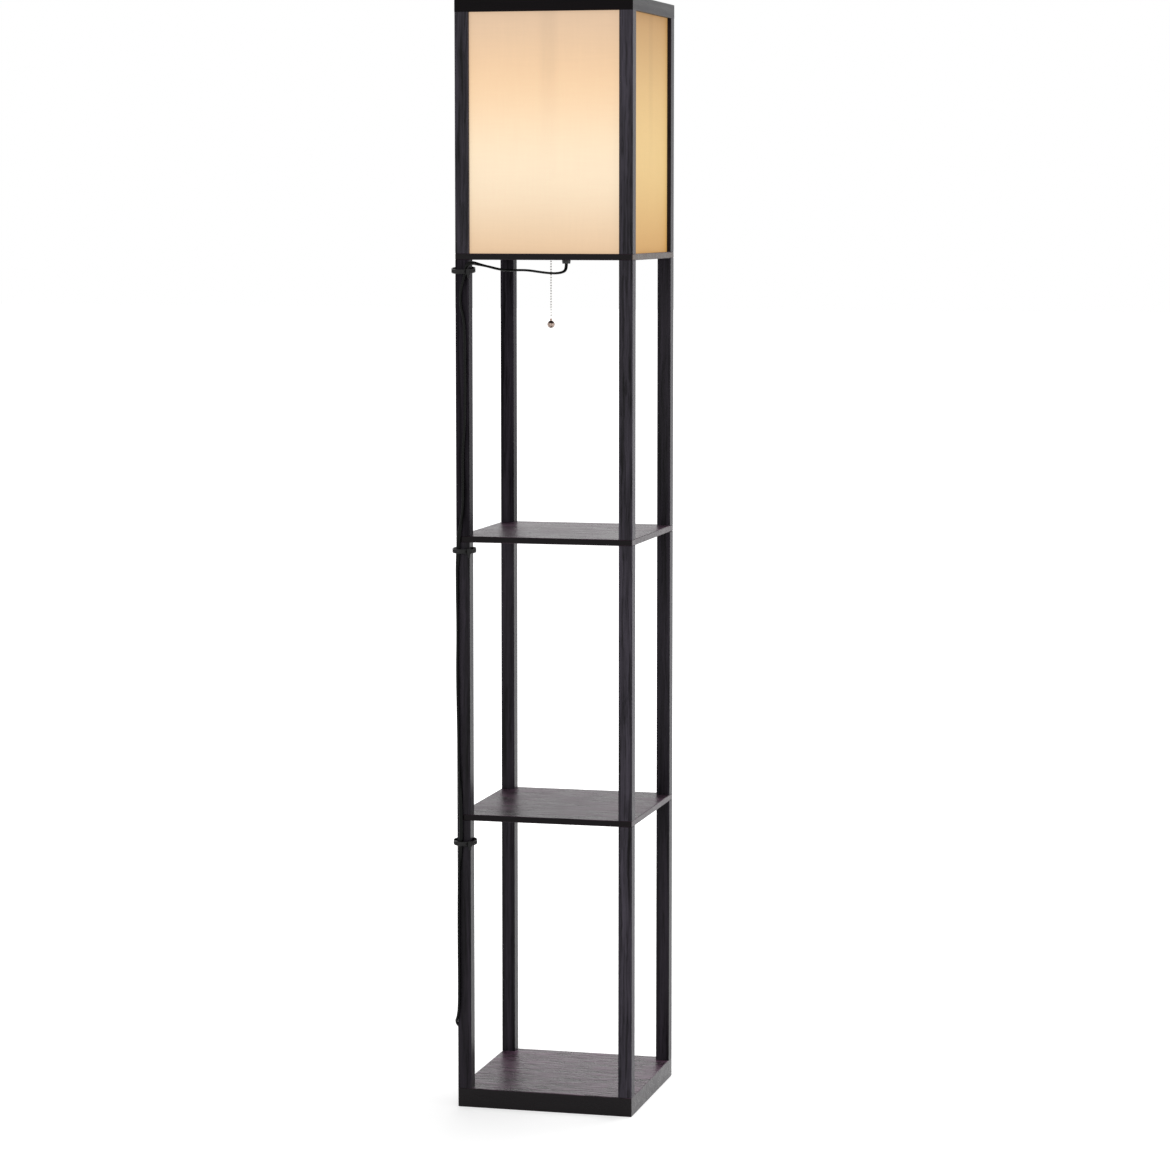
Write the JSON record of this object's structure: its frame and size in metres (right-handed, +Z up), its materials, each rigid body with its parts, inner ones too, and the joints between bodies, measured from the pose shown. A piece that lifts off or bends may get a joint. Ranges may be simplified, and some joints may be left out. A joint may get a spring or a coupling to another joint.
{
  "type": "shelf floor lamp",
  "caption": "Square floor lamp: slim posts carry open shelves and a tall box shade of glowing panels over a pull-chain lamp holder; a lead runs down one post.",
  "frame": {"origin": "centre of the underside of the base, on the floor", "axes": "+Z up the stand, -Y to the front, +X to the right as seen from the front; the lead comes down the front-left post"},
  "size_m": [0.2692, 0.343, 1.6],
  "materials": {
    "black_wood": "black-stained, semi-gloss lacquer, fine straight grain",
    "shade_panel": "translucent cream sheet with fine fibres, lit from inside",
    "zinc_steel": "bright zinc",
    "spring_steel": "plain drawn wire",
    "brass": "plain",
    "nickel": "polished nickel plate",
    "beech": "plain",
    "tie_nylon": "black nylon",
    "lead_pvc": "satin black flexible lead",
    "plug_pvc": "satin moulded black",
    "core_insulation": "smooth",
    "holder_plastic": "black moulded resin",
    "switch_plastic": "moulded resin",
    "bulb_diffuser": "opal, lit",
    "bulb_body": "smooth white"
  },
  "bodies": {
    "stand": {"base_board": "black_wood", "base_bolts": "zinc_steel", "bulb_cap": "nickel", "bulb_contact": "nickel", "bulb_globe": "bulb_diffuser", "bulb_housing": "bulb_body", "cable_tie_bottom": "tie_nylon", "cable_tie_middle": "tie_nylon", "cable_tie_top": "tie_nylon", "centre_contact": "brass", "chain_bushing": "nickel", "cord_gland": "holder_plastic", "holder_cap": "holder_plastic", "holder_shell": "holder_plastic", "inner_wires": "core_insulation", "joint_studs": "zinc_steel", "lamp_board": "black_wood", "lead_coil": "lead_pvc", "lever_pin": "spring_steel", "lever_spring": "spring_steel", "mains_lead": "lead_pvc", "nipple_washer": "zinc_steel", "plug_body": "plug_pvc", "plug_pins": "nickel", "post_inserts": "brass", "post_lower_back_left": "black_wood", "post_lower_back_right": "black_wood", "post_lower_front_left": "black_wood", "post_lower_front_right": "black_wood", "post_middle_back_left": "black_wood", "post_middle_back_right": "black_wood", "post_middle_front_left": "black_wood", "post_middle_front_right": "black_wood", "post_upper_back_left": "black_wood", "post_upper_back_right": "black_wood", "post_upper_front_left": "black_wood", "post_upper_front_right": "black_wood", "screw_shell": "zinc_steel", "shade_panel_back": "shade_panel", "shade_panel_front": "shade_panel", "shade_panel_left": "shade_panel", "shade_panel_right": "shade_panel", "shade_post_back_left": "black_wood", "shade_post_back_right": "black_wood", "shade_post_front_left": "black_wood", "shade_post_front_right": "black_wood", "shelf_lower": "black_wood", "shelf_upper": "black_wood", "switch_body": "switch_plastic", "threaded_nipple": "zinc_steel", "top_dowels": "beech", "top_rail_back": "black_wood", "top_rail_front": "black_wood", "top_rail_left": "black_wood", "top_rail_right": "black_wood"},
    "pull_chain": {"chain_upper": "nickel"},
    "chain_tail": {"chain_lower": "nickel", "pull_ball": "nickel"},
    "switch_arm": {"switch_lever": "brass", "switch_rotor": "switch_plastic"}
  },
  "joints": [
    {"name": "chain_pull", "type": "slide", "parent": "stand", "child": "pull_chain", "axis": [0, 0, -1], "range_m": [0, 0.008], "stiffness_N_per_m": 400, "springref_m": -0.003},
    {"name": "chain_swing", "type": "hinge", "parent": "pull_chain", "child": "chain_tail", "pos_m": [-0.023, 0, 1.227], "axis": [0, 1, 0], "range_deg": [-30, 30]},
    {"name": "lever_pivot", "type": "hinge", "parent": "stand", "child": "switch_arm", "pos_m": [-0.009, 0, 1.273], "axis": [0, -1, 0], "range_deg": [0, 33]}
  ],
  "couplings": [
    {"joint": "lever_pivot", "follows": "chain_pull", "rad_per_m": 71.4}
  ]
}
